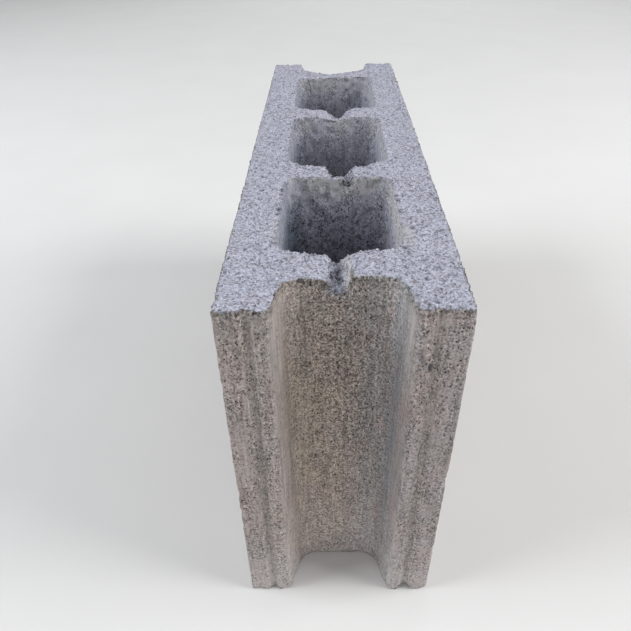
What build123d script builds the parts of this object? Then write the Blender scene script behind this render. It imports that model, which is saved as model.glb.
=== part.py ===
from build123d import *
from math import radians, tan
import os

os.makedirs("parts", exist_ok=True)

# Hollow concrete block with three cores and recessed ends, in millimetres.
# X runs along its length, Y across its thickness, Z up, as it stands after casting.
# The origin is under the middle of the block, on the face that it stands on.

# Outside
length = 390.0
thickness = 100.0
height = 190.0

# Walls, measured on the top face, where they are thinnest
face_shell = 22.0  # each long outer wall
web = 21.5  # each cross wall between two cores
end_web = 21.0  # each cross wall between a core and an end recess

# Cores, open from top to bottom and narrower towards the bottom
core_count = 3
core_corner = 8.0  # radius in plan, at the top
core_draft = 1.0  # degrees, on every side

# Vertical recess in each end, for the mortar of the joint
recess_depth = 25.0
recess_flare_top = 8.0  # degrees that each side opens by, towards the mouth
recess_flare_bottom = 15.0
recess_corner = 10.0  # radius between a side and the floor of the recess
land = 22.5  # width of the flat end of a face shell, beside the mouth
mouth_arris = 2.5  # radius where a land turns into the recess

# V groove down each land
groove_width = 6.0
groove_depth = 2.2
groove_root = 0.8  # radius
groove_lip = 6.5  # flat left between the groove and the recess

# Shallow saddle across the top of every web, where the strike pulled the mix along
saddle_depth = 2.2  # at the face of a web that looks towards -X
saddle_depth_front = 0.6  # at its other face
saddle_shoulder = 8.0  # flat left at each end of the web

# Notch along the middle of the web tops, through every web but the last one
notch_width = 16.0
notch_floor = 4.5
notch_depth = 7.5  # at the face of a web that looks towards -X
notch_depth_front = 3.5  # at its other face
notch_root = 1.5  # radius
web_overrun = 2.0  # how far saddle and notch are cut past a web on each side

# Sizes that follow
core_width = thickness - 2 * face_shell
walls_along = 2 * (recess_depth + end_web) + (core_count - 1) * web
core_length = (length - walls_along) / core_count
core_pitch = core_length + web
end_x = length / 2
recess_floor_x = end_x - recess_depth
recess_mouth = thickness - 2 * land
groove_y = recess_mouth / 2 + groove_lip + groove_width / 2
saddle_width = core_width - 2 * saddle_shoulder

# Where the two faces of each web are, from -X to +X
first_web_x = core_pitch * (1 - core_count / 2)
web_faces = [(-recess_floor_x, -recess_floor_x + end_web)]
for i in range(core_count - 1):
    web_x = first_web_x + i * core_pitch
    web_faces.append((web_x - web / 2, web_x + web / 2))
web_faces.append((recess_floor_x - end_web, recess_floor_x))
notched_faces = web_faces[1:]

# Former that leaves the end recesses: its sides close in a little towards the bottom
with BuildPart() as recess_former:
    for level, flare in ((0, recess_flare_bottom), (height, recess_flare_top)):
        floor_width = recess_mouth - 2 * recess_depth * tan(radians(flare))
        with BuildSketch(Plane.XY.offset(level)):
            with BuildLine():
                Polyline(
                    (end_x, -recess_mouth / 2),
                    (recess_floor_x, -floor_width / 2),
                    (recess_floor_x, floor_width / 2),
                    (end_x, recess_mouth / 2),
                    close=True,
                )
            make_face()
            fillet(vertices().group_by(Axis.X)[0], radius=recess_corner)
    loft()
    mirror(about=Plane.YZ)

with BuildPart() as concrete_block:
    # Solid block, standing on the face that it is cast on
    with BuildSketch(Plane.XY):
        Rectangle(length, thickness)
    extrude(amount=height)

    # Cores, drafted so that the mould lifts off: wide at the top, narrow at the bottom
    with BuildSketch(Plane.XY.offset(height)):
        with GridLocations(core_pitch, 0, core_count, 1):
            RectangleRounded(core_length, core_width, core_corner)
    extrude(amount=-height, taper=core_draft, mode=Mode.SUBTRACT)

    # End recesses, with rounded arrises at their mouths
    add(recess_former.part, mode=Mode.SUBTRACT)
    upright_edges = edges().filter_by_position(Axis.Z, height / 2, height / 2)
    mouth_edges = upright_edges.filter_by(
        lambda edge: abs(abs(edge.center().Y) - recess_mouth / 2) < mouth_arris
    )
    fillet(mouth_edges, radius=mouth_arris)

    # V grooves, one down each of the four lands
    with BuildSketch(Plane.XY):
        with BuildLine():
            Polyline(
                (end_x, groove_y - groove_width / 2),
                (end_x - groove_depth, groove_y),
                (end_x, groove_y + groove_width / 2),
                close=True,
            )
        make_face()
        fillet(vertices().group_by(Axis.X)[0], radius=groove_root)
        mirror(about=Plane.XZ)
        mirror(about=Plane.YZ)
    extrude(amount=height, mode=Mode.SUBTRACT)

    # Saddles, each lofted between the shallow arcs at the two faces of a web
    for back_x, front_x in web_faces:
        sections = (
            (back_x - web_overrun, saddle_depth),
            (front_x + web_overrun, saddle_depth_front),
        )
        for section_x, depth in sections:
            with BuildSketch(Plane.YZ.offset(section_x)):
                with BuildLine():
                    saddle = ThreePointArc(
                        (-saddle_width / 2, height),
                        (0, height - depth),
                        (saddle_width / 2, height),
                    )
                    Line(saddle @ 1, saddle @ 0)
                make_face()
        loft(mode=Mode.SUBTRACT)

    # Notches, each lofted between its sections at the two faces of a web
    for back_x, front_x in notched_faces:
        sections = (
            (back_x - web_overrun, notch_depth),
            (front_x + web_overrun, notch_depth_front),
        )
        for section_x, depth in sections:
            with BuildSketch(Plane.YZ.offset(section_x)):
                with BuildLine():
                    Polyline(
                        (-notch_width / 2, height),
                        (-notch_floor / 2, height - depth),
                        (notch_floor / 2, height - depth),
                        (notch_width / 2, height),
                        close=True,
                    )
                make_face()
                fillet(vertices().group_by(Axis.Y)[0], radius=notch_root)
        loft(mode=Mode.SUBTRACT)

concrete_block.part.label = "concrete_block"
export_step(concrete_block.part, "parts/concrete_block.step")
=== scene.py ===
from math import atan2, cos, pi, radians, sin, tan
from types import SimpleNamespace

import bpy
import numpy as np
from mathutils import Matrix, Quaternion, Vector, noise
from mathutils.geometry import delaunay_2d_cdt
from mathutils.kdtree import KDTree


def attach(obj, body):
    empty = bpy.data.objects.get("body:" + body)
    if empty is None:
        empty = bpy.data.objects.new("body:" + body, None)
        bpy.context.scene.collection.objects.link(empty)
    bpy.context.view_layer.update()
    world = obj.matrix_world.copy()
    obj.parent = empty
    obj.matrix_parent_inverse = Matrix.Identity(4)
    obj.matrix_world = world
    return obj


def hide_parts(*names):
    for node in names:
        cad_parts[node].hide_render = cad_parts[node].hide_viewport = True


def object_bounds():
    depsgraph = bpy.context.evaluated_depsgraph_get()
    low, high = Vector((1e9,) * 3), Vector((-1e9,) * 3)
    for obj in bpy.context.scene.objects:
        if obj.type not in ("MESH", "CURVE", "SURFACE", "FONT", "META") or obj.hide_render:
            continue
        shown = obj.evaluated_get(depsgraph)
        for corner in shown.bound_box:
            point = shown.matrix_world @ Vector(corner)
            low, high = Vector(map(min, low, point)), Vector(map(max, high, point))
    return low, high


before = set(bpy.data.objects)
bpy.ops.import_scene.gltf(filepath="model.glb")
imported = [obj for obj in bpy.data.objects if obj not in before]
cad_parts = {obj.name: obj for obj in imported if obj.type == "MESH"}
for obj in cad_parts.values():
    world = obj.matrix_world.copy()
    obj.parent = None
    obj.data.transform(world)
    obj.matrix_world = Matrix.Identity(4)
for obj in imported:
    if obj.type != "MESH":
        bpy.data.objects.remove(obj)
cadLow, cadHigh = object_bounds()
mm = 0.001  # shapes are worked out in millimetres and stored in metres
print("frame: nodes", sorted(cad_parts))


# Camera, where the photograph was taken from
cameraPlace = {
    "location": (0.38108, -0.00624, 0.31066),
    "azimuth": 1.486,  # degrees from looking straight along the block
    "pitch": 40.378,  # degrees down
    "roll": -1.183,
    "focalPixels": 596.6,
    "framePixels": 631.0,
    "axisPixelY": 387.9,  # the photograph is cut from a taller one
    "sensor": 36.0,
}


def makeCamera(place):
    data = bpy.data.cameras.new("photoCamera")
    data.sensor_width = place["sensor"]
    data.lens = place["sensor"] * place["focalPixels"] / place["framePixels"]
    data.shift_y = place["axisPixelY"] / place["framePixels"] - 0.5
    data.clip_start = 0.01
    azimuth, pitch = radians(place["azimuth"]), radians(place["pitch"])
    forward = Vector((-cos(pitch) * cos(azimuth), -cos(pitch) * sin(azimuth), -sin(pitch)))
    camera = bpy.data.objects.new("photoCamera", data)
    camera.rotation_mode = "QUATERNION"
    turn = Quaternion((0, 0, 1), radians(place["roll"]))
    camera.rotation_quaternion = forward.to_track_quat("-Z", "Y") @ turn
    camera.location = place["location"]
    bpy.context.scene.collection.objects.link(camera)
    bpy.context.scene.camera = camera


makeCamera(cameraPlace)
print("camera: set")


# Small helpers for materials
def linear(red, green, blue):
    # a colour as read from a screen, 0 to 255, as the shader wants it
    def channel(value):
        share = value / 255
        return share / 12.92 if share <= 0.04045 else ((share + 0.055) / 1.055) ** 2.4
    return (channel(red), channel(green), channel(blue), 1.0)


def newMaterial(name):
    material = bpy.data.materials.new(name)
    material.use_nodes = True
    tree = material.node_tree
    shader = next(n for n in tree.nodes if n.type == "BSDF_PRINCIPLED")
    return material, tree, shader


def addNode(tree, kind, settings=None, inputs=None):
    # inputs are plain values, or sockets to link from
    node = tree.nodes.new(kind)
    for key, value in (settings or {}).items():
        setattr(node, key, value)
    for key, value in (inputs or {}).items():
        if isinstance(value, bpy.types.NodeSocket):
            tree.links.new(value, node.inputs[key])
        else:
            node.inputs[key].default_value = value
    return node


def treeOf(*values):
    # the node tree of the first socket among the values
    return next(value.id_data for value in values if isinstance(value, bpy.types.NodeSocket))


def mathNode(operation, first, second=0.0, clamp=False):
    settings = {"operation": operation, "use_clamp": clamp}
    return addNode(treeOf(first, second), "ShaderNodeMath", settings, {0: first, 1: second}).outputs[0]


def times(first, second, clamp=False):
    return mathNode("MULTIPLY", first, second, clamp)


def plus(first, second, clamp=False):
    return mathNode("ADD", first, second, clamp)


def minus(first, second):
    return mathNode("SUBTRACT", first, second, True)


def larger(first, second):
    return mathNode("MAXIMUM", first, second)


def vectorNode(operation, first, second):
    # the second is a vector, or the factor of a scale
    values = {0: first, 3 if operation == "SCALE" else 1: second}
    return addNode(treeOf(first), "ShaderNodeVectorMath", {"operation": operation}, values).outputs[0]


def mixColour(share, first, second, blend="MIX"):
    settings = {"data_type": "RGBA", "blend_type": blend}
    tree = treeOf(share, first, second)
    return addNode(tree, "ShaderNodeMix", settings, {0: share, 6: first, 7: second}).outputs[2]


def tint(colour, share, tone):
    return mixColour(share, colour, linear(*tone))


def multiplied(colour, layer, share=1.0):
    return mixColour(share, colour, layer, "MULTIPLY")


def ramp(value, stops):
    # stops are (place, grey) pairs
    node = addNode(value.id_data, "ShaderNodeValToRGB", {}, {0: value})
    elements = node.color_ramp.elements
    while len(elements) < len(stops):
        elements.new(0.5)
    for element, (place, grey) in zip(elements, stops):
        element.position = place
        element.color = (grey, grey, grey, 1.0)
    return node.outputs[0]


# Finish of the concrete: tones as read from a screen, sizes in millimetres
concreteLook = {
    "castTone": (156, 148, 145),  # faces dragged smooth by the mould
    "castRightShadeTone": (151, 145, 144),  # painted shade: the same, darker towards +Y
    "grooveTone": (154, 147, 142),
    "footTone": (186, 182, 182),
    "pinkTone": (157, 143, 139),  # clouds in the cast faces
    "greenTone": (141, 137, 130),
    "recessTone": (168, 156, 144),
    "recessTopTone": (156, 148, 142),
    # painted shade on the recess floors, towards +Y
    "recessRightShadeTone": (153, 150, 149),
    "rightWallLightTone": (166, 168, 175),  # painted light on the side of a recess at +Y
    "boreTone": (159, 161, 174),
    # painted shade on the core walls at -Y, painted light on those at +Y near the top
    "boreLeftShadeTone": (92, 104, 120),
    "boreRightLightTone": (180, 180, 183),
    "limeTone": (170, 170, 173),  # band under the rim of each core, where it faces along the block
    "bedToneWithLight": (168, 170, 185),  # open struck face on top: its own paler finish, with painted cool light from above
    "bareTone": (166, 166, 173),
    "creamTone": (186, 182, 173),
    "bluishTone": (108, 114, 130),
    "darkGrain": (70, 67, 70),
    "paleGrain": (208, 206, 210),
    "brownGrain": (138, 118, 102),
    "ridgeShade": (0.85, 0.855, 0.865),  # painted shade on each side of a recess, next to its mouth
    # painted shade under the rims
    "crumbleShade": (0.88, 0.9, 0.88),
    # painted shade in the hollows of the chips
    "hollowShade": (0.22, 0.23, 0.27),
    "flankLightGain": 1.19,  # painted light: how much paler the sides of a recess are than its floor
    "footPale": 1.14,  # how much paler the outside is at the very foot
    "footHeight": 110.0,
    "footToneHeight": 60.0,
    "recessFootPale": 1.15,  # as much again in the end recesses
    "recessFootHeight": 165.0,
    "blockHeight": (cadHigh.z - cadLow.z) / mm,
    "grainSize": 0.8,
    "sandSize": 0.85,
    "fineSandSize": 0.7,  # on the faces that the mould dragged smooth
    "stoneSize": 1.6,
    "pitSize": 1.2,
    # painted shade in the open pits
    "pitPaintedShade": 0.42,
    "streakSize": 1.1,
    "streakLength": 20.0,
    "crumbSize": 1.5,
    "seamSize": 1.7,
    "dotSize": 1.3,  # from one small hole in the cast skin to the next
    "blotchSize": 2.6,
    "roughness": 0.92,
    "specular": 0.25,
    "bumpStrength": 0.8,
    "bumpDistance": 0.5,
}

# What the mesh says of each point of its surface
surfaceKinds = ("bed", "bore", "boreLeft", "boreRight", "slick", "recess", "rightWall", "flank", "ridge",
                "groove", "cool", "lime", "bare", "warmth", "broken", "crumbly", "hollow", "tone")


def noiseNode(at, size, detail=2.0, upright=1, output="Fac"):
    # an upright factor under 1 draws the pattern out along the height
    vector = at.inMm if upright == 1 else vectorNode("MULTIPLY", at.inMm, (1, 1, upright))
    values = {"Vector": vector, "Scale": 1 / size, "Detail": detail}
    return addNode(at.tree, "ShaderNodeTexNoise", {}, values).outputs[output]


def cells(at, size, tall=1.0):
    # cells of a warped pattern: distance from the middle, and two draws for each cell
    vector = vectorNode("MULTIPLY", at.bent, (1, 1, 1 / tall))
    node = addNode(at.tree, "ShaderNodeTexVoronoi", {}, {"Vector": vector, "Scale": 1 / size})
    draws = addNode(at.tree, "ShaderNodeSeparateColor", {}, {0: node.outputs["Color"]}).outputs
    return node.outputs["Distance"], draws[0], draws[1]


def towardsFoot(at, top, atFoot, above, foot=0.0):
    values = {0: at.level, 1: foot, 2: top, 3: atFoot, 4: above}
    return addNode(at.tree, "ShaderNodeMapRange", {}, values).outputs[0]


def readSurface(tree, look):
    # sockets for what is at each point of the surface
    at = SimpleNamespace(tree=tree)
    for kind in surfaceKinds:
        settings = {"attribute_type": "GEOMETRY", "attribute_name": kind}
        setattr(at, kind, addNode(tree, "ShaderNodeAttribute", settings).outputs["Fac"])
    at.inMm = vectorNode("SCALE", addNode(tree, "ShaderNodeTexCoord").outputs["Object"], 1 / mm)
    at.bent = vectorNode("ADD", at.inMm, noiseNode(at, 0.9, output="Color"))
    at.level = addNode(tree, "ShaderNodeSeparateXYZ", {}, {0: at.inMm}).outputs[2]
    at.upShare = times(at.level, 1 / look["blockHeight"])
    at.grain = noiseNode(at, look["grainSize"], 3.0)
    at.heights = [at.grain]  # parts of the finer relief
    return at


def shareSurface(at):
    # the struck face ends in a ragged line of grains, and its bare rims are patchy
    ragged = plus(at.bed, times(at.grain, 0.7), True)
    at.bed = ramp(ragged, [(0.72, 0.0), (0.98, 1.0)])
    at.bare = times(at.bare, ramp(noiseNode(at, 3.0, 3.0), [(0.38, 0.35), (0.56, 1.0)]))
    at.dragged = minus(1.0, at.bed)
    at.outside = minus(at.dragged, at.bore)
    # the cast skin is closed in places and open in others
    openSkin = ramp(noiseNode(at, 7.0, 3.0, 0.45), [(0.4, 0.45), (0.54, 1.0)])
    closed = times(at.dragged, minus(1.0, openSkin))
    closed = times(closed, minus(1.0, times(at.recess, 0.85)))
    closed = plus(closed, times(at.dragged, towardsFoot(at, 60.0, 0.1, 0.0, 10.0)))
    smooth = times(at.slick, 0.2)
    for share, most in ((at.bare, 0.7), (at.lime, 0.35), (at.ridge, 0.5)):
        smooth = larger(smooth, times(share, most))
    at.coarse = minus(minus(1.0, closed), smooth)
    at.openFace = times(at.dragged, at.coarse)
    at.holes = times(at.dragged, minus(minus(1.0, times(closed, 0.6)), smooth))


def groundColour(at, look):
    # a colour for each kind of face, with clouds of pink and green in it
    atTop = ramp(at.upShare, [(0.0, 0.3), (0.2, 0.0), (0.75, 0.0), (0.92, 1.0)])
    recessColour = tint(linear(*look["recessTone"]), atTop, look["recessTopTone"])
    # painted shade towards +Y, on the recesses and the cast faces
    recessColour = tint(recessColour, at.cool, look["recessRightShadeTone"])
    castColour = tint(linear(*look["castTone"]), at.cool, look["castRightShadeTone"])
    colour = mixColour(at.recess, castColour, recessColour)
    pink = ramp(noiseNode(at, 10.0, 3.0, 0.6), [(0.45, 0.0), (0.65, 0.7)])
    green = ramp(noiseNode(at, 13.0, 3.0, 0.5), [(0.52, 0.0), (0.72, 0.5)])
    green = times(green, ramp(at.upShare, [(0.1, 0.3), (0.4, 1.0)]))
    limed = ramp(noiseNode(at, 9.0), [(0.35, 0.3), (0.6, 1.0)])
    for share, name in (
        (times(pink, at.dragged), "pinkTone"),
        (times(green, at.dragged), "greenTone"),
        (times(at.groove, 0.8), "grooveTone"),
        # painted light on the +Y sides of the recesses
        (times(at.rightWall, 0.45), "rightWallLightTone"),
        (at.bore, "boreTone"),
        # painted shade on the -Y core walls, painted light on the +Y ones
        (at.boreLeft, "boreLeftShadeTone"),
        (at.boreRight, "boreRightLightTone"),
        # the struck face, partly its own finish and partly painted cool light
        (at.bed, "bedToneWithLight"),
        (times(at.bare, 1.6, True), "bareTone"),
        (times(at.lime, limed), "limeTone"),
        (times(at.warmth, 1.0, True), "creamTone"),
        (times(at.warmth, -1.0, True), "bluishTone"),
    ):
        colour = tint(colour, share, look[name])
    return colour


def addMarks(colour, at, look):
    # drag marks that run down the faces; paler towards the foot, painted light on the sides of the recesses
    # and painted shade next to their mouths
    band = ramp(noiseNode(at, 4.0, 2.0, 0.03), [(0.35, 0.94), (0.65, 1.05)])
    along = look["streakSize"] / look["streakLength"]
    streak = ramp(noiseNode(at, look["streakSize"], 2.0, along), [(0.32, 0.8), (0.68, 1.16)])
    colour = multiplied(colour, multiplied(band, streak), minus(at.dragged, times(at.bore, 0.4)))
    footPale = towardsFoot(at, look["footHeight"], look["footPale"], 1.0)
    colour = multiplied(colour, footPale, at.outside)
    recessPale = towardsFoot(at, look["recessFootHeight"], look["recessFootPale"], 1.0)
    colour = multiplied(colour, recessPale, at.recess)
    # painted light on the sides of the recesses
    flankLightGain = (look["flankLightGain"],) * 3 + (1.0,)
    colour = multiplied(colour, flankLightGain, times(at.flank, at.dragged))
    # painted shade next to the recess mouths
    colour = multiplied(colour, (*look["ridgeShade"], 1.0), at.ridge)
    up = times(at.level, 1 / look["footToneHeight"])
    veryFoot = ramp(up, [(0.0, 0.55), (0.4, 0.3), (1.0, 0.05)])
    return tint(colour, times(veryFoot, at.outside), look["footTone"])


def addGrains(colour, at, look):
    # each grain of sand has its own shade of the ground colour, with seams between the pressed ones
    middle, draw, _ = cells(at, look["sandSize"])
    at.heights.append(times(middle, -0.4))
    sand = ramp(draw, [(0.0, 0.5), (0.16, 0.8), (0.5, 1.0), (0.85, 1.12), (1.0, 1.3)])
    _, draw, _ = cells(at, look["fineSandSize"])
    fineSand = ramp(draw, [(0.0, 0.5), (0.2, 0.88), (0.5, 1.04), (0.85, 1.09), (1.0, 1.17)])
    grains = ramp(at.grain, [(0.3, 0.6), (0.44, 0.92), (0.56, 1.06), (0.7, 1.18)])
    colour = multiplied(colour, multiplied(sand, grains), times(at.bed, at.coarse))
    colour = multiplied(colour, multiplied(fineSand, grains), at.openFace)
    colour = multiplied(colour, sand, at.openFace)
    fold = mathNode("SUBTRACT", noiseNode(at, look["seamSize"]), 0.5)
    seams = ramp(mathNode("ABSOLUTE", fold), [(0.0, 0.42), (0.018, 0.6), (0.045, 1.0)])
    seamShare = ramp(noiseNode(at, 4.5), [(0.42, 0.2), (0.58, 1.0)])
    colour = multiplied(colour, seams, times(at.openFace, seamShare))
    highRecess = times(at.recess, ramp(at.upShare, [(0.3, 0.35), (0.7, 0.8)]))
    return multiplied(colour, multiplied(seams, grains), times(at.openFace, highRecess))


def addHoles(colour, at, look):
    # small holes in the cast skin, darkened with painted shade, and darker places on the walls of the cores
    middle, draw, _ = cells(at, look["dotSize"], 1.4)
    holes = larger(ramp(middle, [(0.17, 0.06), (0.32, 1.0)]), ramp(draw, [(0.58, 0.0), (0.62, 1.0)]))
    at.heights.append(times(holes, 0.5))
    # painted shade in the holes
    colour = multiplied(colour, holes, at.holes)
    blotches = ramp(noiseNode(at, look["blotchSize"], 3.0), [(0.36, 0.55), (0.46, 0.98), (0.6, 1.1)])
    share = times(at.bore, minus(1.0, larger(at.slick, at.lime)))
    return multiplied(colour, blotches, share)


def addStones(colour, at, look):
    # stones of other colours, most of them in the struck face; loose grains carry their own tone
    middle, draw, otherDraw = cells(at, look["stoneSize"])
    at.heights.append(times(middle, -0.4))
    share = minus(at.coarse, times(at.openFace, 0.6))
    for value, stops, most, name in (
        (draw, [(0.0, 0.55), (0.04, 0.35), (0.07, 0.0), (1.0, 0.0)], share, "darkGrain"),
        (draw, [(0.0, 0.0), (0.9, 0.0), (0.94, 0.12), (1.0, 0.25)], share, "paleGrain"),
        (otherDraw, [(0.0, 0.3), (0.06, 0.15), (0.1, 0.0), (1.0, 0.0)], times(share, at.bed), "brownGrain"),
    ):
        colour = tint(colour, times(ramp(value, stops), most), look[name])
    colour = tint(colour, times(at.tone, -0.4, True), look["darkGrain"])
    return tint(colour, times(at.tone, 0.3, True), look["paleGrain"])


def addBreaks(colour, at, look):
    # open pits between the grains and crumbs under the rims, darkened with painted shade; fresh breaks behind
    # the crumbled arrises; painted shade in the hollows of the chips
    dark, pitNoise = look["pitPaintedShade"], noiseNode(at, look["pitSize"], 3.0, 0.7)
    pits = ramp(pitNoise, [(0.0, dark * 0.8), (0.34, dark), (0.42, 1.0), (1.0, 1.0)])
    at.heights.append(times(pits, 0.8))
    colour = multiplied(colour, pits, times(at.coarse, ramp(at.bed, [(0.0, 0.7), (1.0, 1.0)])))
    # crumbled arrises, with dark crumbs and a band of painted shade under the rims
    crumbs = ramp(noiseNode(at, look["crumbSize"]), [(0.0, 0.3), (0.45, 0.45), (0.5, 1.0), (1.0, 1.1)])
    edge = plus(times(at.crumbly, 1.5), times(at.grain, 0.8))
    share = times(at.crumbly, ramp(edge, [(0.5, 0.0), (0.75, 1.0)]))
    colour = multiplied(colour, (*look["crumbleShade"], 1.0), share)
    colour = multiplied(colour, crumbs, share)
    colour = tint(colour, times(at.broken, 0.15), look["bluishTone"])
    return multiplied(colour, (*look["hollowShade"], 1.0), at.hollow)


def finerRelief(at, look):
    # relief finer than the mesh
    total = at.heights[0]
    for part in at.heights[1:]:
        total = plus(total, part)
    depth = times(at.coarse, ramp(at.bed, [(0.0, 0.8), (1.0, 1.0)]))
    values = {"Strength": look["bumpStrength"], "Distance": look["bumpDistance"] * mm,
              "Height": times(total, depth)}
    return addNode(at.tree, "ShaderNodeBump", {}, values).outputs[0]


def makeConcrete(look):
    material, tree, shader = newMaterial("pressedConcrete")
    at = readSurface(tree, look)
    shareSurface(at)
    colour = groundColour(at, look)
    for addStep in (addMarks, addGrains, addHoles, addStones, addBreaks):
        colour = addStep(colour, at, look)
    tree.links.new(colour, shader.inputs["Base Color"])
    tree.links.new(finerRelief(at, look), shader.inputs["Normal"])
    shader.inputs["Roughness"].default_value = look["roughness"]
    shader.inputs["Specular IOR Level"].default_value = look["specular"]
    return material


concrete = makeConcrete(concreteLook)
print("material: concrete")


# Shape of the block, in millimetres
blockShape = {
    "length": (cadHigh.x - cadLow.x) / mm,
    "thickness": (cadHigh.y - cadLow.y) / mm,
    "height": (cadHigh.z - cadLow.z) / mm,
    "faceShell": 22.0,
    "web": 21.5,
    "endWeb": 21.0,
    "coreCount": 3,
    "coreCorner": 8.0,
    "coreDraft": 1.0,  # degrees
    "recessDepth": 25.0,
    "recessFlareTop": 8.0,  # degrees
    "recessFlareBottom": 15.0,
    "recessCorner": 10.0,
    "land": 22.5,
    "mouthArris": 2.8,
    "cornerArris": 0.7,
    "grooveWidth": 6.0,
    "grooveDepth": 2.2,
    "grooveLip": 6.5,
    "grooveEdge": 0.4,  # radii of its edges and its root
    "grooveRoot": 0.8,
    # how far the rim of the +X core lies inward and sideways at its near corners, and how much rounder
    "nearRim": ((1.4, 0.0, 0.0), (3.2, 1.2, 1.0)),
}

# How closely the surface is divided, in millimetres
blockMesh = {
    "nearEnd": 1.2,  # along the outline, at the end that the camera faces
    "farEnd": 2.0,
    "side": 2.9,
    "cornerZone": 12.0,  # stretch of each side, next to an end, that is as fine as the end
    "rimFine": 1.15,  # down from the top
    "rimDepth": 13.0,
    "wallStep": 2.35,
    "coreStep": 2.6,
    "coreDeepStep": 4.6,
    "coreFineDepth": 95.0,
    "coreWebStep": 1.25,
    "coreSideStep": 2.3,
    "bedNear": 1.05,
    "bedFar": 1.6,
    "bottomStep": 2.9,
    "capRow": 0.87,  # top and bottom: distance of the rows of points, as a share of the step
    "capShift": 0.22,  # most that a point is shifted
    "capClear": 0.6,  # kept clear along the rims
}

halfLength = blockShape["length"] / 2
halfThickness = blockShape["thickness"] / 2
height = blockShape["height"]
mouth = halfThickness - blockShape["land"]
grooveY = mouth + blockShape["grooveLip"] + blockShape["grooveWidth"] / 2
floorX = halfLength - blockShape["recessDepth"]
coreWidth = blockShape["thickness"] - 2 * blockShape["faceShell"]
wallsAlong = (2 * (blockShape["recessDepth"] + blockShape["endWeb"])
              + (blockShape["coreCount"] - 1) * blockShape["web"])
coreLength = (blockShape["length"] - wallsAlong) / blockShape["coreCount"]
corePitch = coreLength + blockShape["web"]
coreCentres = [corePitch * (i - (blockShape["coreCount"] - 1) / 2) for i in range(blockShape["coreCount"])]

# The top of each web as it was struck and broke out, from the camera's end to the far one:
# (y, depth) points along its two faces
firstWeb = (floorX - blockShape["endWeb"], floorX)
secondWeb = (corePitch / 2 - blockShape["web"] / 2, corePitch / 2 + blockShape["web"] / 2)
thirdWeb = (-secondWeb[1], -secondWeb[0])
lastWeb = (-firstWeb[1], -firstWeb[0])
overWeb = 3.0  # the dips run on past a web's faces, where its arrises are eased
webTops = [
    {"faces": firstWeb,
     "back": [(-22, 0), (-16, 0.5), (-12, 1.7), (-8, 1.3), (-5, 2.6), (-3.9, 4.6), (-2.1, 6.6), (-0.9, 6.3),
              (0.8, 4.1), (2.2, 2.3), (4.5, 1.0), (9, 0.5), (14, 0)],
     "front": [(-24, 0.4), (-18, 1.0), (-12, 0.9), (-7.6, 1.4), (-5.6, 2.2), (-2.8, 4.4), (-1, 5.4),
               (0.6, 4.2), (3.5, 2.6), (4.0, 0.3), (6, 0)]},
    {"faces": secondWeb,
     "back": [(-23, 0), (-19, 1.1), (-6.8, 1.9), (-6, 3.8), (-2.9, 7.1), (-1, 7.9), (2, 7.5), (5.6, 6.9),
              (6.9, 4.8), (8.9, 2.3), (15, 2.0), (18, 0.8), (22, 0)],
     "front": [(-7, 0), (-5, 1.0), (-2.7, 2.4), (-1.0, 0.9), (2.4, 0.7), (4.2, 3.4), (6.2, 3.8), (7.2, 0.8),
               (10, 0)]},
    {"faces": thirdWeb,
     "back": [(-21, 0), (-15, 0.9), (-10, 0.6), (-6.3, 2.0), (-4.3, 3.5), (0.9, 6.3), (2.7, 7.2), (4.8, 5.8),
              (7.6, 2.4), (9.3, 0.9), (14, 0)],
     "front": [(-13, 0), (-9.3, 0.4), (-4, 1.4), (0.6, 2.3), (4, 1.5), (8, 0.3), (11, 0)]},
    {"faces": lastWeb,
     "back": [(-23, 0), (-18.7, 0.6), (-7.6, 2.2), (-1.6, 2.8), (4.4, 2.0), (11.8, 1.0), (23, 0)],
     "front": [(-26, 0), (-22, 0.8), (-11, 0.7), (3, 0.2), (12, 0)]},
]


def smoothStep(low, high, value):
    share = np.clip((value - low) / (high - low), 0, 1)
    return share * share * (3 - 2 * share)


def topHeight(x, y):
    # height of the struck face: level, with its dips over the webs
    drop = np.zeros(len(x))
    for web in webTops:
        backX, frontX = web["faces"]
        backDepth, frontDepth = (np.interp(y, *zip(*web[face])) for face in ("back", "front"))
        along = np.clip((x - backX) / (frontX - backX), 0, 1)
        here = (x > backX - overWeb) & (x < frontX + overWeb)
        drop = np.where(here, backDepth + (frontDepth - backDepth) * along, drop)
    return height - drop


def outlinePieces(corners):
    # straight runs and rounded corners of a closed outline, from (x, y, radius) corners
    count = len(corners)
    ends = []
    for i, (x, y, radius) in enumerate(corners):
        here = Vector((x, y))
        come = (here - Vector(corners[i - 1][:2])).normalized()
        leave = (Vector(corners[(i + 1) % count][:2]) - here).normalized()
        turn = atan2(come.cross(leave), come.dot(leave))
        back = radius * tan(abs(turn) / 2)
        ends.append((here - come * back, here + leave * back, come, turn, radius))
    pieces = []
    for i, (start, stop, come, turn, radius) in enumerate(ends):
        if radius > 0:
            side = 1 if turn > 0 else -1
            centre = start + Vector((-come.y, come.x)) * radius * side
            pieces.append(("arc", centre, radius, atan2(start.y - centre.y, start.x - centre.x), turn))
        pieces.append(("line", stop, ends[(i + 1) % count][0]))
    return pieces


def pieceLength(piece):
    return piece[2] * abs(piece[4]) if piece[0] == "arc" else (piece[2] - piece[1]).length


def pointOn(piece, share):
    if piece[0] == "arc":
        angle = piece[3] + piece[4] * share
        return (piece[1].x + piece[2] * cos(angle), piece[1].y + piece[2] * sin(angle))
    spot = piece[1].lerp(piece[2], share)
    return (spot.x, spot.y)


def sampleOutline(pieces, counts):
    return np.array([pointOn(piece, k / n) for piece, n in zip(pieces, counts) for k in range(n)])


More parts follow.
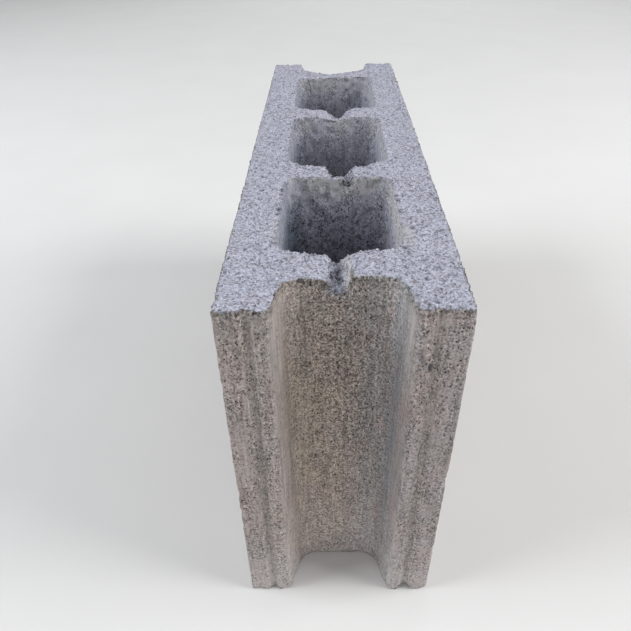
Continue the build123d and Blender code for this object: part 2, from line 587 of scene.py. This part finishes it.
def outerCorners(flare):
    # the block seen from above, anticlockwise; flare is that of the recesses
    halfGroove = blockShape["grooveWidth"] / 2
    floorHalf = mouth - blockShape["recessDepth"] * tan(radians(flare))
    upper = [
        (floorX, floorHalf, blockShape["recessCorner"]),
        (halfLength, mouth, blockShape["mouthArris"]),
        (halfLength, grooveY - halfGroove, blockShape["grooveEdge"]),
        (halfLength - blockShape["grooveDepth"], grooveY, blockShape["grooveRoot"]),
        (halfLength, grooveY + halfGroove, blockShape["grooveEdge"]),
        (halfLength, halfThickness, blockShape["cornerArris"]),
        (halfLength - blockMesh["cornerZone"], halfThickness, 0.0),
    ]
    end = [(x, -y, radius) for x, y, radius in reversed(upper)] + upper
    return end + [(-x, -y, radius) for x, y, radius in end]


def coreCorners(centreX, level):
    shrink = (height - level) * tan(radians(blockShape["coreDraft"]))
    halfX, halfY = coreLength / 2 - shrink, coreWidth / 2 - shrink
    radius = blockShape["coreCorner"] - shrink
    corners = [(centreX + sx * halfX, sy * halfY, radius) for sx, sy in ((1, -1), (1, 1), (-1, 1), (-1, -1))]
    if centreX > corePitch / 2:
        share = level / height
        for i, (inward, sideways, rounder) in enumerate(blockShape["nearRim"]):
            x, y, radius = corners[i]
            corners[i] = (x - inward * share, y - sideways * share, radius + rounder)
    return corners


def outerStep(piece):
    endZone = halfLength - blockMesh["cornerZone"] - blockShape["recessDepth"]
    x = pointOn(piece, 0.5)[0]
    if abs(x) < endZone:
        return blockMesh["side"]
    return blockMesh["nearEnd"] if x > 0 else blockMesh["farEnd"]


def coreStep(piece):
    alongSide = piece[0] == "line" and abs(piece[1].y - piece[2].y) < 1
    return blockMesh["coreSideStep"] if alongSide else blockMesh["coreWebStep"]


def levelsDown(runs):
    # heights from the top to the bottom, from (lowest height, step) runs
    levels = [height]
    for lowest, step in runs:
        count = max(1, round((levels[-1] - lowest) / step))
        levels += list(np.linspace(levels[-1], lowest, count + 1)[1:])
    return np.array(levels)


def insideLoop(points, loop):
    # whether each point is inside a closed outline, by counting crossings
    inside = np.zeros(len(points), bool)
    for (x0, y0), (x1, y1) in zip(loop, np.roll(loop, -1, axis=0)):
        if y0 != y1:
            crosses = (y0 > points[:, 1]) != (y1 > points[:, 1])
            inside ^= crosses & (points[:, 0] < (x1 - x0) * (points[:, 1] - y0) / (y1 - y0) + x0)
    return inside


def insideRings(points, rings):
    keep = insideLoop(points, rings[0])
    for ring in rings[1:]:
        keep &= ~insideLoop(points, ring)
    return keep


def nearestDistance(places, marks):
    tree = KDTree(len(marks))
    for i, mark in enumerate(marks.tolist()):
        tree.insert(mark, i)
    tree.balance()
    return np.array([tree.find(place)[2] for place in places.tolist()])


def flat(points):
    return np.column_stack([points, np.zeros(len(points))])


def fillCap(rings, stepAt, seed):
    # triangles between the outer ring and the core rings, with points of their own inside
    draw = np.random.default_rng(seed)
    outer = rings[0]
    rows = []
    x, odd = outer[:, 0].min(), False
    while x < outer[:, 0].max():
        step = stepAt(x)
        y = np.arange(outer[:, 1].min() + (step / 2 if odd else 0), outer[:, 1].max(), step)
        rows.append(np.column_stack([np.full_like(y, x), y, np.full_like(y, step)]))
        x, odd = x + step * blockMesh["capRow"], not odd
    grid = np.concatenate(rows)
    shift = blockMesh["capShift"]
    grid[:, :2] += draw.uniform(-shift, shift, (len(grid), 2)) * grid[:, 2:]
    grid = grid[insideRings(grid[:, :2], rings)]
    edgePoints = np.concatenate(rings)
    clear = nearestDistance(flat(grid[:, :2]), flat(edgePoints)) > grid[:, 2] * blockMesh["capClear"]
    grid = grid[clear][:, :2]
    edges, start = [], 0
    for ring in rings:
        edges += [(start + i, start + (i + 1) % len(ring)) for i in range(len(ring))]
        start += len(ring)
    points = np.concatenate([edgePoints, grid])
    found = delaunay_2d_cdt([Vector(p) for p in points.tolist()], edges, [], 0, 1e-5)
    source = [origin[0] for origin in found[3]]
    faces = np.array([[source[i] for i in face] for face in found[2]])
    return grid, faces[insideRings(points[faces].mean(1), rings)]


def buildSkin():
    # the whole closed surface: points, kind of face at each, four-sided and three-sided faces,
    # and the points along the rims
    points, kind, quads, triangles = [], [], [], []
    topRings, bottomRings, topIndex, bottomIndex = [], [], [], []
    total = 0
    rimRun = (height - blockMesh["rimDepth"], blockMesh["rimFine"])
    fineRun = (height - blockMesh["coreFineDepth"], blockMesh["coreStep"])
    outerLevels = levelsDown([rimRun, (0, blockMesh["wallStep"])])
    coreLevels = levelsDown([rimRun, fineRun, (0, blockMesh["coreDeepStep"])])
    flares = (blockShape["recessFlareTop"], blockShape["recessFlareBottom"])
    walls = [("outer", *(outerCorners(flare) for flare in flares), outerStep, outerLevels)]
    for centre in coreCentres:
        walls.append(("core", coreCorners(centre, height), coreCorners(centre, 0), coreStep, coreLevels))

    for name, topCorners, bottomCorners, stepOf, levels in walls:
        topPieces, bottomPieces = outlinePieces(topCorners), outlinePieces(bottomCorners)
        counts = [max(1, round(pieceLength(piece) / stepOf(piece))) for piece in topPieces]
        topRing, bottomRing = sampleOutline(topPieces, counts), sampleOutline(bottomPieces, counts)
        ringTop = topHeight(topRing[:, 0], topRing[:, 1])
        count = len(topRing)
        for level in levels:
            share = level / height
            points.append(np.column_stack([topRing * share + bottomRing * (1 - share), ringTop * share]))
        kind += [name] * (count * len(levels))
        index = total + np.arange(len(levels) * count).reshape(len(levels), count)
        upper, lower = index[:-1], index[1:]
        nextUpper, nextLower = np.roll(upper, -1, axis=1), np.roll(lower, -1, axis=1)
        outward = (upper, lower, nextLower, nextUpper)
        quads.append(np.stack(outward if name == "outer" else outward[::-1], -1).reshape(-1, 4))
        topRings.append(topRing)
        bottomRings.append(bottomRing)
        topIndex.append(index[0])
        bottomIndex.append(index[-1])
        total += index.size

    def bedStep(x):
        share = (x + halfLength) / blockShape["length"]
        return blockMesh["bedFar"] + (blockMesh["bedNear"] - blockMesh["bedFar"]) * share

    caps = (("top", topRings, topIndex, bedStep, 11),
            ("bottom", bottomRings, bottomIndex, lambda x: blockMesh["bottomStep"], 12))
    for name, rings, ringIndex, stepAt, seed in caps:
        grid, faces = fillCap(rings, stepAt, seed)
        lookUp = np.concatenate(ringIndex + [total + np.arange(len(grid))])
        level = topHeight(grid[:, 0], grid[:, 1]) if name == "top" else np.zeros(len(grid))
        points.append(np.column_stack([grid, level]))
        kind += [name] * len(grid)
        a, b, c = (np.concatenate(rings + [grid])[faces[:, i]] for i in range(3))
        leftTurn = (b[:, 0] - a[:, 0]) * (c[:, 1] - a[:, 1]) > (b[:, 1] - a[:, 1]) * (c[:, 0] - a[:, 0])
        wrong = ~leftTurn if name == "top" else leftTurn
        faces[wrong] = faces[wrong][:, ::-1]
        triangles.append(lookUp[faces])
        total += len(grid)
    rims = np.concatenate(topIndex + bottomIndex)
    return np.concatenate(points), np.array(kind), np.concatenate(quads), np.concatenate(triangles), rims


skin, skinKind, quads, triangles, rims = buildSkin()
allTriangles = np.concatenate([triangles, quads[:, [0, 1, 2]], quads[:, [0, 2, 3]]])
print("block: skin of", len(skin), "points and", len(allTriangles), "triangles")


# Wear and grain of the pressed surface, in millimetres
blockRelief = {
    "roundingTurns": 2,
    "roundingReach": 1.6,  # how far from an arris it is eased
    "bedSink": 0.15,  # the struck face lies this much under the top of its grains
    "bedGrain": 0.8,
    "bedGrainSize": 2.4,
    "bedWave": 0.35,
    "bedWaveSize": 9.0,
    "wallSink": 0.04,
    "wallGrain": 0.2,
    "wallGrainSize": 2.4,
    "streak": 0.22,  # drag marks left as the mould lifted
    "streakWidth": 3.2,
    "streakLength": 90.0,
    "coreSink": 0.2,
    "corePit": 1.5,
    "corePitSize": 3.6,
    "crumble": 1.7,  # how far the arrises have broken back
    "crumbleSize": 2.6,
    "crumbleReach": 2.4,
    "notchRough": 1.8,
    "rubbleSize": 4.2,
    "arrisStep": 2.0,  # between the points that stand for an upright corner
    "strayChips": 150,
    "strayRadius": (1.6, 3.4),
    "strayDepth": (0.3, 1.0),
    "seed": 5,
}

# Chips out of the camera's end that stay pale: y, z, radius, depth
endChips = [
    (-46.0, 188.5, 4.2, 1.5),
    (-40.0, 189.0, 3.6, 1.5),
    (-33.5, 188.5, 3.4, 1.8),
    (-30.0, 190.0, 3.0, 1.4),
    (30.5, 189.6, 3.0, 1.2),
    (37.0, 189.8, 3.2, 1.6),
    (41.0, 189.5, 2.4, 1.5),
    (49.5, 189.5, 4.0, 1.0),
    (49.0, 0.5, 4.2, 1.6),
    (37.0, 0.5, 5.0, 2.2),
    (-37.0, 0.5, 3.2, 1.4),
    (-46.0, 0.0, 3.5, 1.0),
    (-30.0, 0.0, 3.0, 0.9),
    (33.0, 155.0, 2.0, 1.2),
    (35.5, 156.5, 2.2, 0.8),
    (29.0, 24.0, 2.2, 0.9),
]

# Chips and dents whose hollow gets painted shade: place, radius, depth, how dark
darkChips = [
    ((195.0, 35.6, 161.7), 2.3, 0.8, 1.0),
    ((195.0, 38.2, 161.6), 1.9, 0.3, 0.5),
    ((195.0, 40.4, 161.6), 1.9, 0.3, 0.4),
    ((195.0, 33.9, 163.0), 1.9, 0.3, 0.45),
    ((195.0, 32.1, 165.5), 1.9, 0.3, 0.4),
    ((195.0, 30.6, 168.6), 1.9, 0.3, 0.35),
    ((170.5, -2.6, 187.0), 1.8, 1.6, 1.0),
    ((168.5, -3.4, 185.5), 1.6, 0.8, 0.7),
    ((155.0, -3.6, 185.0), 1.5, 0.8, 0.8),
    ((170.5, -10.5, 188.6), 1.4, 0.9, 0.7),
    ((170.5, -17.4, 188.6), 1.5, 1.0, 0.8),
    ((183.0, -26.3, 189.0), 1.7, 1.2, 0.9),
    ((178.0, 25.0, 189.0), 1.6, 1.0, 0.8),
    ((171.0, 22.0, 189.2), 1.4, 0.8, 0.8),
    ((62.0, 5.5, 187.8), 3.3, 2.0, 1.0),
    ((62.4, -2.8, 189.0), 1.6, 1.0, 0.7),
    ((80.0, -29.2, 190.0), 1.6, 1.0, 0.9),
    ((86.0, -29.0, 190.0), 1.5, 0.9, 0.8),
    ((104.5, -29.6, 190.0), 1.4, 0.9, 0.7),
    ((110.0, -29.5, 190.0), 1.6, 1.0, 0.9),
    ((139.5, -29.6, 190.0), 1.6, 0.8, 0.7),
    ((90.0, 28.7, 190.0), 1.4, 0.9, 0.8),
    ((94.0, 29.2, 190.0), 1.3, 0.8, 0.7),
    ((125.5, 33.0, 190.0), 1.5, 0.8, 0.8),
    ((133.0, 28.6, 190.0), 1.3, 0.7, 0.6),
    ((144.5, 27.8, 190.0), 1.7, 1.0, 0.8),
]

# Stretches of rim that the strike left smooth and bare: middle, reach along each axis, share
bareRims = [
    ((133.0, 29.5, 190.0), (16.0, 4.4, 9.0), 0.8),
    ((129.0, -29.5, 190.0), (16.0, 3.0, 9.0), 0.6),
]


def noiseField(places, size, seed):
    spots = (places / np.array(size) + seed * 7.31).tolist()
    return np.array([noise.noise(spot) for spot in spots])


def grainField(places, size, seed):
    # 0 at the middle of each grain, near 1 between grains
    spots = (places / size + seed * 7.31).tolist()
    return np.array([noise.voronoi(spot)[0][0] for spot in spots])


def pointNormals(points, faces):
    a, b, c = (points[faces[:, i]] for i in range(3))
    across, corners = np.cross(b - a, c - a), faces.ravel()
    total = np.column_stack([np.bincount(corners, np.repeat(across[:, k], 3), len(points)) for k in range(3)])
    return total / np.maximum(np.linalg.norm(total, axis=1, keepdims=True), 1e-9)


def easeArrises(points, faces, share, turns):
    # pulls each point towards the middle of its neighbours
    edges = np.concatenate([faces[:, [0, 1]], faces[:, [1, 2]], faces[:, [2, 0]]])
    start, stop = edges.T
    degree = np.bincount(start, minlength=len(points))[:, None]
    for _ in range(turns):
        total = np.column_stack([np.bincount(start, points[stop, k], len(points)) for k in range(3)])
        points = points + (total / degree - points) * share[:, None]
    return points


def arrisMarks(rimPoints, step):
    # points along the rims and the upright corners
    uprights = [(sx * halfLength, sy * halfThickness, z)
                for sx in (-1, 1) for sy in (-1, 1) for z in np.arange(0, height, step)]
    return np.concatenate([rimPoints, uprights])


def bareShare(points, upward):
    bare = np.zeros(len(points))
    for middle, reach, share in bareRims:
        away = np.linalg.norm((points - np.array(middle)) / reach, axis=1)
        bare = np.maximum(bare, share * smoothStep(1.0, 0.6, away) * (0.5 + 0.5 * upward))
    return bare


def faceCut(points, core, upward, slick, relief):
    # depth of the grain, drag marks and pits of each face
    grains = grainField(points, relief["bedGrainSize"], 1)
    wave = 0.5 + 0.5 * noiseField(points, relief["bedWaveSize"], 2)
    bedCut = relief["bedGrain"] * np.clip(grains * 1.3 - 0.3, 0, 1) + relief["bedWave"] * wave
    wallNoise = noiseField(points, relief["wallGrainSize"], 3)
    stretch = (relief["streakWidth"], relief["streakWidth"], relief["streakLength"])
    streaks = noiseField(points, stretch, 4)
    wallCut = relief["wallGrain"] * (0.5 + wallNoise) + relief["streak"] * (0.5 + streaks)
    wallCut += relief["wallSink"]
    pits = np.clip(noiseField(points, relief["corePitSize"], 6) * 1.6 - 0.15, 0, 1)
    coreCut = relief["coreSink"] + relief["corePit"] * pits + 0.5 * wallCut
    cut = np.where(core, coreCut, wallCut * (1 - 0.7 * slick))
    return cut * (1 - upward) + (relief["bedSink"] + bedCut) * upward


def chipFields(points, marks, relief):
    # depth, freshness and painted shade of the chips, with stray ones along the arrises
    draw = np.random.default_rng(relief["seed"])
    chips = [((halfLength, y, z), radius, depth, 0.0) for y, z, radius, depth in endChips] + darkChips
    for pick in marks[draw.integers(0, len(marks), relief["strayChips"])]:
        chips.append((pick, draw.uniform(*relief["strayRadius"]), draw.uniform(*relief["strayDepth"]), 0.0))
    cut, fresh, hollow = np.zeros((3, len(points)))
    for place, radius, depth, dark in chips:
        closeness = np.clip(1 - ((points - np.array(place)) ** 2).sum(1) / radius ** 2, 0, 1)
        cut += depth * closeness ** 1.5
        fresh += 0.4 * closeness ** 1.5
        # painted shade in each hollow
        hollow = np.maximum(hollow, dark * smoothStep(0, 0.6, closeness))
    return cut, fresh, hollow


def wearSkin(points, kind, faces, rimPoints, relief):
    x, y, z = points.T  # places from before the arrises are eased
    absX, absY, down, top = np.abs(x), np.abs(y), height - z, topHeight(x, y)
    core, outer = kind == "core", kind == "outer"
    marks = arrisMarks(points[rimPoints], relief["arrisStep"])
    fromArris = nearestDistance(points, marks)
    near = np.clip(1 - nearestDistance(points, points[rimPoints]) / relief["roundingReach"], 0, 1)
    near *= np.where(z < 10, 0.3, 1.0)
    points = easeArrises(points, faces, 0.4 * near, relief["roundingTurns"])
    normals = pointNormals(points, faces)

    # where each kind of surface lies
    upward = smoothStep(0.5, 0.85, normals[:, 2])
    steep = 1 - upward
    insideRecess = outer & (absY < mouth - 0.5) & (absX < halfLength - 1.5)
    fromFloor = absX - floorX
    cornerBand = smoothStep(12, 16, absY) * (1 - smoothStep(9, 16, fromFloor - 5 * (y > 0)))
    slick = insideRecess * cornerBand * steep
    inNotch = smoothStep(2.2, 4.0, height - top) * smoothStep(22, 8, down)
    bare = bareShare(points, upward)

    # crumbled arrises, the broken-out notches and single chips
    rim = np.clip(1 - fromArris / relief["crumbleReach"], 0, 1) ** 1.3
    crumble = np.clip(noiseField(points, relief["crumbleSize"], 7) * 3.0 - 0.55, 0, 1.3)
    atEnd = np.where(absX > halfLength - 4, 1.0, np.where(core | (absY < mouth + 2), 0.7, 0.3))
    backOfWeb = (np.abs(x - firstWeb[0]) < 4) & (absY < coreWidth / 2)
    atEnd = np.where(backOfWeb, 1.3, atEnd)
    highUp = (0.15 + 0.85 * smoothStep(12, 6, down)) * atEnd
    broken = rim * crumble * highUp
    rubble = np.clip(grainField(points, relief["rubbleSize"], 8) - 0.2, 0, 1)
    chipCut, chipFresh, hollow = chipFields(points, marks, relief)
    cut = faceCut(points, core, upward, slick, relief) + relief["crumble"] * broken
    cut += relief["notchRough"] * inNotch * rubble * upward + chipCut
    points = points - normals * np.maximum(cut, 0)[:, None]
    points = np.clip(points, (-halfLength, -halfThickness, 0), (halfLength, halfThickness, height))

    # tints: one flank of the first notch is sandy; the fresh break in it is bluish, and darkened with painted
    # shade over its other flank
    onFirstWeb = (x > firstWeb[0] - 2) & (x < firstWeb[1] + 2)
    sandyFlank = onFirstWeb * smoothStep(-1, 0.6, y) * (1 - smoothStep(3.7, 4.2, y))
    sandyFlank = sandyFlank * smoothStep(9, 6, down)
    fromFresh = (points - (floorX - 4, -2.2, height - 5.5)) / (2.2, 1.1, 1)
    fresh = np.clip(1 - np.linalg.norm(fromFresh, axis=1) / 6.0, 0, 1) ** 0.6
    warmth = 0.35 * sandyFlank - 0.75 * fresh * (1 - sandyFlank)
    boreSide = core * steep * smoothStep(0.75, 0.95, np.abs(normals[:, 1]))
    farCore = core & (x < secondWeb[1])
    slick = np.maximum(slick, np.maximum(boreSide, 0.6 * farCore * steep))
    limeBand = core * smoothStep(19, 6, down) * steep * (np.abs(normals[:, 0]) > 0.5)
    fromGroove = np.abs(absY - grooveY)
    belowRim = top - z
    leftLand = (y < -mouth) & (x > floorX)
    # band under the rims for crumbs and painted shade
    underRim = np.maximum(smoothStep(6, 2, belowRim), 0.45 * leftLand * smoothStep(15, 6, belowRim)) * steep
    # painted light on the sides of the recesses, against their floors
    leftFlankLight = smoothStep(15, 21, -y) * (0.4 + 0.6 * smoothStep(2, 12, fromFloor))
    leftFlankLight = leftFlankLight * (0.4 + 0.6 * smoothStep(10, 60, z)) * (1 - smoothStep(150, 182, z))
    rightFlankLight = 0.8 * smoothStep(9, 17, fromFloor) * (0.3 + 0.7 * smoothStep(90, 150, z))
    # painted light on the +Y side of each recess, where the lamps leave shade
    rightWall = insideRecess * steep * smoothStep(20, 23, y) * (1 - smoothStep(24, 26.5, y))
    # painted shade on the sides of the recesses next to their mouths, which are also smoother
    ridge = outer * (absX > floorX) * steep * smoothStep(21.5, 24, absY)
    # painted shade on the -Y core walls and painted light on the +Y ones, fading with depth
    boreLeft = core * steep * smoothStep(17, 24, -y) * np.where(x > firstWeb[0] - coreLength - 5, 1.0, 0.5)
    boreRight = boreSide * smoothStep(22, 26, y) * np.where(x > secondWeb[1], 1.0, 0.6)
    inRubble = inNotch * np.where(x > secondWeb[0] - 4, 1.0, 0.4) * (1 - 0.8 * sandyFlank)
    return points, {
        "bed": np.maximum(upward, 0.9 * inNotch * smoothStep(10, 7, down)) * (1 - 0.5 * bare),
        "bore": core * steep,
        "bare": bare,
        "slick": slick,
        "recess": insideRecess * steep * (1 - 0.7 * smoothStep(8, 17, fromFloor - 4 * (y > 0))),
        "rightWall": rightWall * (0.3 + 0.7 * smoothStep(20, 90, z)),
        "ridge": ridge * (1 - smoothStep(27.5, 29.5, absY)) * (0.5 + 0.5 * smoothStep(30, 100, z)),
        "groove": outer * (absX > halfLength - 3) * (1 - smoothStep(1.4, 3.2, fromGroove)) * steep,
        # share of the painted shade towards +Y
        "cool": smoothStep(-8, 20, y),
        "warmth": warmth,
        "boreLeft": boreLeft * (0.18 + 0.57 * smoothStep(4, 30, down)),
        "boreRight": boreRight * (0.1 + 0.9 * smoothStep(22, 6, down)),
        "flank": insideRecess * steep * np.where(y < 0, leftFlankLight, rightFlankLight),
        "crumbly": underRim * np.where(core, 0.2, np.where(absX > floorX - 6, 0.9, 0.4)),
        "hollow": hollow,
        "lime": limeBand * np.where(x > 0, 1.0, 0.75),
        "broken": np.clip(broken + chipFresh, 0, 1),
        "grit": np.clip(upward * (1 - 0.3 * rim) + 0.5 * rim * highUp, 0, 1) * (z > 100) * (1 - 0.85 * bare),
        "rubble": np.maximum(inRubble, 0.7 * backOfWeb * rim) * (z > 100),
    }


wornSkin, skinFields = wearSkin(skin, skinKind, allTriangles, rims, blockRelief)


def makeMesh(name, points, threeSided, fourSided, fields):
    mesh = bpy.data.meshes.new(name)
    mesh.from_pydata((points * mm).tolist(), [], threeSided.tolist() + fourSided.tolist())
    mesh.polygons.foreach_set("use_smooth", np.ones(len(mesh.polygons), bool))
    for key, values in fields.items():
        data = mesh.attributes.new(key, "FLOAT", "POINT").data
        data.foreach_set("value", np.asarray(values, np.float32))
    mesh.update()
    return mesh


def addPiece(name, mesh):
    piece = bpy.data.objects.new(name, mesh)
    bpy.context.scene.collection.objects.link(piece)
    return piece


blockMeshData = makeMesh("cast_block", wornSkin, triangles, quads, skinFields)
blockMeshData.materials.append(concrete)
castBlock = addPiece("cast_block", blockMeshData)
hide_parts("concrete_block")
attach(castBlock, "root")
print("block: worn surface made")


# Loose grains of sand and stone that stand out of the struck face and the arrises
gritShape = {
    "Spacing": 1.15 * mm,
    "Density": 900000.0,  # most grains to a square metre
    "Smallest": 0.38 * mm,  # radius
    "Largest": 1.0 * mm,
    "Sink": 0.25 * mm,
    "Roughness": 0.5 * mm,
    "Contrast": 1.0,  # how much the grains differ in shade
    "Seed": 3,
}

# Coarser rubble left in the notches where they broke out
rubbleShape = {
    "Spacing": 1.3 * mm,
    "Density": 700000.0,
    "Smallest": 0.5 * mm,
    "Largest": 1.25 * mm,
    "Sink": 0.1 * mm,
    "Roughness": 0.8 * mm,
    "Contrast": 2.2,
    "Seed": 8,
}


def randomNode(tree, low, high, seed):
    # a draw for each grain, which is a vector where low is one
    first, kind = (0, "FLOAT_VECTOR") if isinstance(low, tuple) else (2, "FLOAT")
    values = {first: low, first + 1: high, "Seed": seed}
    return addNode(tree, "FunctionNodeRandomValue", {"data_type": kind}, values).outputs[first // 2]


def gritTree(shape, material, whereName):
    tree = bpy.data.node_groups.new("looseGrit", "GeometryNodeTree")
    tree.interface.new_socket("Geometry", in_out="INPUT", socket_type="NodeSocketGeometry")
    for key in shape:
        kind = "NodeSocketInt" if key == "Seed" else "NodeSocketFloat"
        tree.interface.new_socket(key, in_out="INPUT", socket_type=kind)
    tree.interface.new_socket("Geometry", in_out="OUTPUT", socket_type="NodeSocketGeometry")
    given = addNode(tree, "NodeGroupInput").outputs
    where = addNode(tree, "GeometryNodeInputNamedAttribute", {"data_type": "FLOAT"}, {"Name": whereName})
    spread = addNode(tree, "GeometryNodeDistributePointsOnFaces", {"distribute_method": "POISSON"}, {
        "Mesh": given["Geometry"], "Distance Min": given["Spacing"], "Density Max": given["Density"],
        "Density Factor": where.outputs[0], "Seed": given["Seed"]})
    offset = vectorNode("SCALE", spread.outputs["Normal"], times(given["Sink"], -1.0))
    sunk = addNode(tree, "GeometryNodeSetPosition", {}, {
        "Geometry": spread.outputs["Points"], "Offset": offset})
    pebble = addNode(tree, "GeometryNodeMeshIcoSphere", {}, {"Radius": 1.0, "Subdivisions": 1}).outputs[0]
    small = mathNode("POWER", randomNode(tree, 0.0, 1.0, given["Seed"]), 2.2)  # many fine grains, few large
    span = mathNode("SUBTRACT", given["Largest"], given["Smallest"])
    radius = plus(times(small, span), given["Smallest"])
    scale = vectorNode("SCALE", randomNode(tree, (0.75, 0.75, 0.55), (1.25, 1.1, 1.0), 21), radius)
    turn = randomNode(tree, (0, 0, 0), (2 * pi, 2 * pi, 2 * pi), 22)
    placed = addNode(tree, "GeometryNodeInstanceOnPoints", {}, {
        "Points": sunk.outputs[0], "Instance": pebble, "Rotation": turn, "Scale": scale})
    shade = times(randomNode(tree, -1.0, 1.0, 23), given["Contrast"])
    toned = addNode(tree, "GeometryNodeStoreNamedAttribute", {"data_type": "FLOAT", "domain": "INSTANCE"},
                    {"Geometry": placed.outputs[0], "Name": "tone", "Value": shade})
    real = addNode(tree, "GeometryNodeRealizeInstances", {}, {0: toned.outputs[0]})
    bumpy = addNode(tree, "ShaderNodeTexNoise", {}, {"Scale": 900.0, "Detail": 1.0}).outputs["Color"]
    shift = vectorNode("SCALE", vectorNode("SUBTRACT", bumpy, (0.5, 0.5, 0.5)), given["Roughness"])
    shaped = addNode(tree, "GeometryNodeSetPosition", {}, {"Geometry": real.outputs[0], "Offset": shift})
    done = addNode(tree, "GeometryNodeSetMaterial", {}, {"Geometry": shaped.outputs[0], "Material": material})
    addNode(tree, "NodeGroupOutput", {}, {"Geometry": done.outputs[0]})
    return tree


def makeGrit(name, carrierMesh, whereName, shape, material):
    carrier = addPiece("gritCarrier", carrierMesh)
    modifier = carrier.modifiers.new("grit", "NODES")
    modifier.node_group = gritTree(shape, material, whereName)
    for socket in modifier.node_group.interface.items_tree:
        if socket.in_out == "INPUT" and socket.name in shape:
            modifier[socket.identifier] = shape[socket.name]
    depsgraph = bpy.context.evaluated_depsgraph_get()
    mesh = bpy.data.meshes.new_from_object(carrier.evaluated_get(depsgraph), preserve_all_data_layers=True,
                                           depsgraph=depsgraph)
    carrier.modifiers.clear()
    bpy.data.objects.remove(carrier)
    spots = np.empty(len(mesh.vertices) * 3)
    mesh.vertices.foreach_get("co", spots)
    spots = np.clip(spots.reshape(-1, 3), tuple(cadLow), tuple(cadHigh))  # none stands out of the real size
    mesh.vertices.foreach_set("co", spots.ravel())
    mesh.update()
    piece = addPiece(name, mesh)
    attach(piece, "root")
    print("grit:", name, len(mesh.polygons), "faces")


makeGrit("bed_grit", blockMeshData.copy(), "grit", gritShape, concrete)
makeGrit("notch_rubble", blockMeshData.copy(), "rubble", rubbleShape, concrete)


# Floor and light
studio = {
    "floorSize": 5.6,  # metres
    "floorTone": (214, 214, 214),
    "floorRoughness": 0.9,
    "skyTone": (0.98, 0.99, 1.0),
    "skyPower": 0.37,
    "backdrop": (0.86, 0.87, 0.88),
    "lamps": [  # name, place, size, watts, colour
        ("leftLamp", (0.35, -2.0, 1.3), 1.4, 46.0, (0.96, 0.98, 1.0)),
        ("rightLamp", (0.35, 2.0, 1.3), 1.4, 53.0, (1.0, 0.985, 0.97)),
        ("frontLamp", (2.4, 0.2, 0.8), 1.4, 11.5, (1.0, 0.97, 0.94)),
        ("backLamp", (-2.4, 0.3, 1.2), 1.4, 9.2, (1.0, 1.0, 1.0)),
    ],
    "aim": (0.1, 0, 0.1),
}


def makeFloor(settings):
    half = settings["floorSize"] / 2
    mesh = bpy.data.meshes.new("studioFloor")
    corners = [(-half, -half, 0), (half, -half, 0), (half, half, 0), (-half, half, 0)]
    mesh.from_pydata(corners, [], [(0, 1, 2, 3)])
    material, tree, shader = newMaterial("palePaper")
    place = addNode(tree, "ShaderNodeTexCoord").outputs["Object"]
    cloud = addNode(tree, "ShaderNodeTexNoise", {}, {"Vector": place, "Scale": 9.0, "Detail": 4.0})
    shade = ramp(cloud.outputs["Fac"], [(0.3, 0.97), (0.7, 1.0)])
    colour = multiplied(linear(*settings["floorTone"]), shade)
    tree.links.new(colour, shader.inputs["Base Color"])
    shader.inputs["Roughness"].default_value = settings["floorRoughness"]
    mesh.materials.append(material)
    addPiece("studioFloor", mesh)


def makeLight(settings):
    world = bpy.data.worlds.new("studioLight")
    world.use_nodes = True
    bpy.context.scene.world = world
    tree = world.node_tree
    tree.nodes.clear()
    sky = addNode(tree, "ShaderNodeBackground", {}, {0: (*settings["skyTone"], 1), 1: settings["skyPower"]})
    back = addNode(tree, "ShaderNodeBackground", {}, {0: (*settings["backdrop"], 1), 1: 1.0})
    path = addNode(tree, "ShaderNodeLightPath").outputs
    mirrored = larger(path["Is Glossy Ray"], path["Is Transmission Ray"])
    seen = larger(path["Is Camera Ray"], mirrored)
    mixed = addNode(tree, "ShaderNodeMixShader", {}, {0: seen, 1: sky.outputs[0], 2: back.outputs[0]})
    addNode(tree, "ShaderNodeOutputWorld", {}, {0: mixed.outputs[0]})
    for name, place, size, watts, colour in settings["lamps"]:
        data = bpy.data.lights.new(name, "AREA")
        data.size, data.energy, data.color = size, watts, colour
        lamp = bpy.data.objects.new(name, data)
        lamp.location = place
        lamp.rotation_mode = "QUATERNION"
        aim = Vector(settings["aim"]) - Vector(place)
        lamp.rotation_quaternion = aim.to_track_quat("-Z", "Y")
        bpy.context.scene.collection.objects.link(lamp)


makeFloor(studio)
makeLight(studio)
bpy.context.scene.view_settings.view_transform = "Standard"
print("studio: floor and light")
